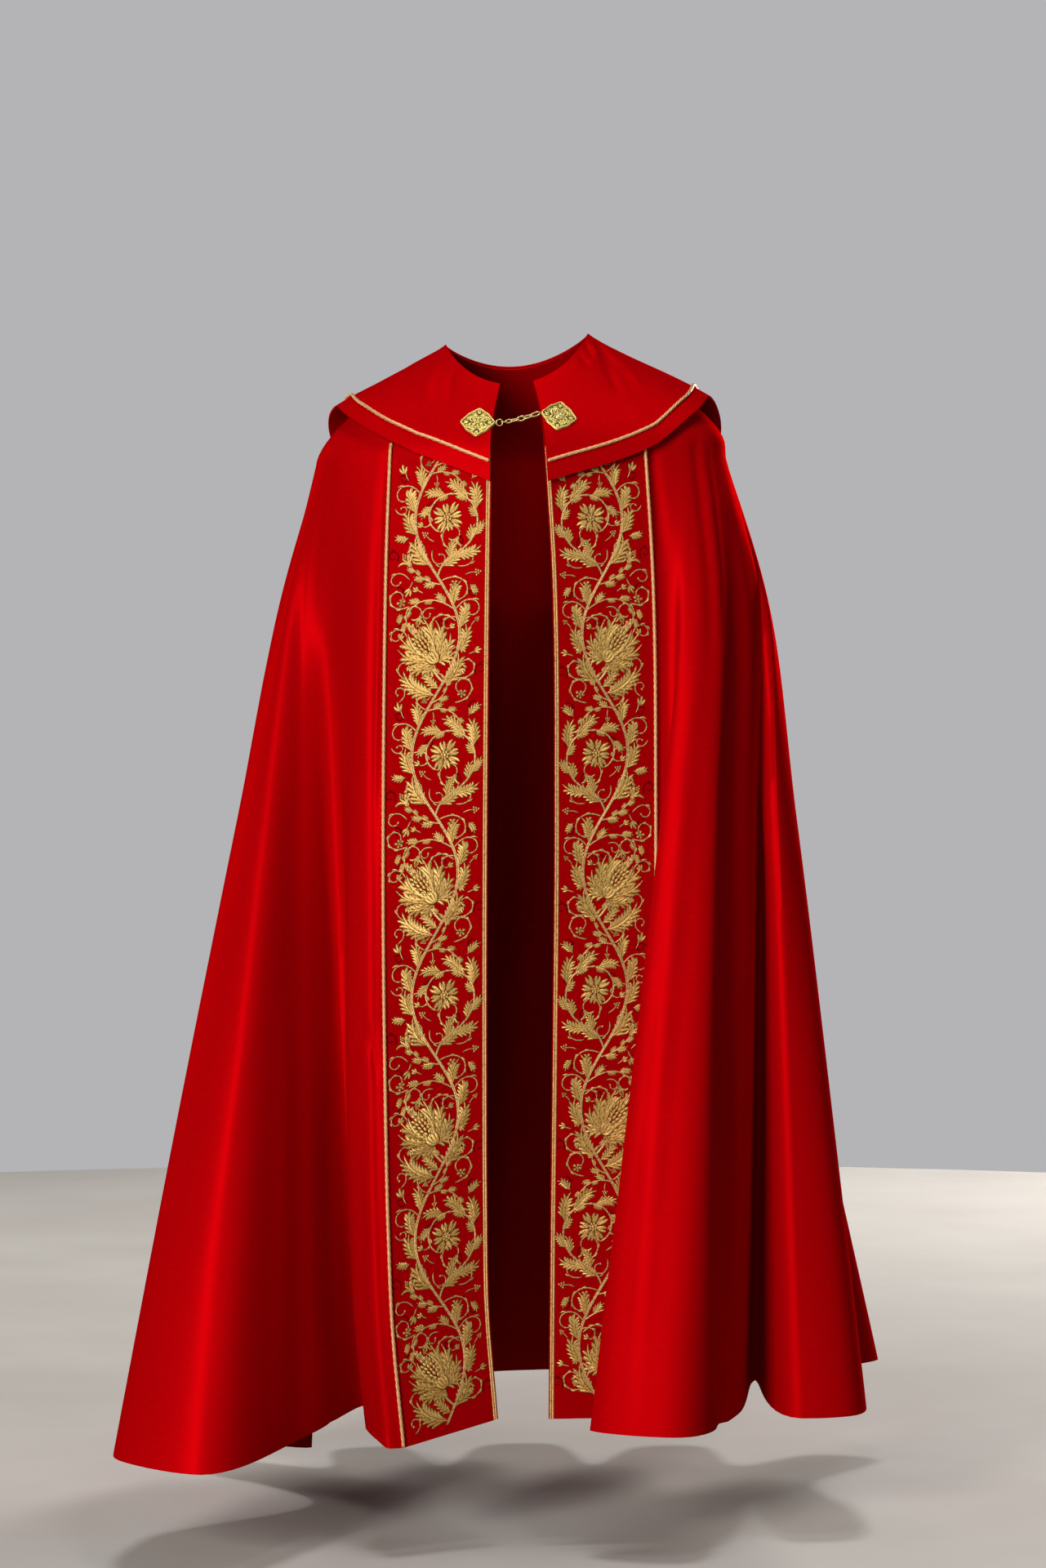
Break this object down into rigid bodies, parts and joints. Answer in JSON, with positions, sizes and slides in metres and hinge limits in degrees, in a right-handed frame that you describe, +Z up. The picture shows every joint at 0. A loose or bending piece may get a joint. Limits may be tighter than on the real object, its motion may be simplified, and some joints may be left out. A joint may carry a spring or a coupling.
{
  "type": "cope vestment",
  "caption": "Worn red cope: a floor-length open-fronted cloak with gold-embroidered front bands, a piped shoulder collar and a chain clasp, hollow as worn.",
  "frame": {"origin": "middle of the neck opening at the base of the neck, where the wearer's shoulders hold the cope", "axes": "+Z up, the open front faces -Y, the wearer's right is at -X"},
  "size_m": [0.9843, 0.8797, 1.4511],
  "materials": {
    "red_cloth": "satin-faced red wool",
    "band_cloth": "red wool under gold embroidery",
    "gold_cord": "pale gold twisted cord",
    "gold_braid": "flat gold braid",
    "gilt_metal": "gilt filigree"
  },
  "bodies": {
    "root": {"body_front_right": "red_cloth", "body_back_right": "red_cloth", "body_back_left": "red_cloth", "body_front_left": "red_cloth", "collar": "red_cloth", "orphrey_right": "band_cloth", "orphrey_left": "band_cloth", "outer_cord_right": "gold_cord", "outer_cord_left": "gold_cord", "collar_cord": "gold_cord", "inner_braid_right": "gold_braid", "inner_braid_left": "gold_braid", "clasp_plate_right": "gilt_metal", "clasp_plate_right_rim": "gilt_metal", "clasp_plate_right_boss": "gilt_metal", "clasp_plate_left": "gilt_metal", "clasp_plate_left_rim": "gilt_metal", "clasp_plate_left_boss": "gilt_metal", "jump_ring": "gilt_metal", "small_link_1": "gilt_metal", "small_link_2": "gilt_metal", "curb_link_1": "gilt_metal", "curb_link_2": "gilt_metal", "curb_link_3": "gilt_metal", "hook_link": "gilt_metal"}
  },
  "joints": []
}
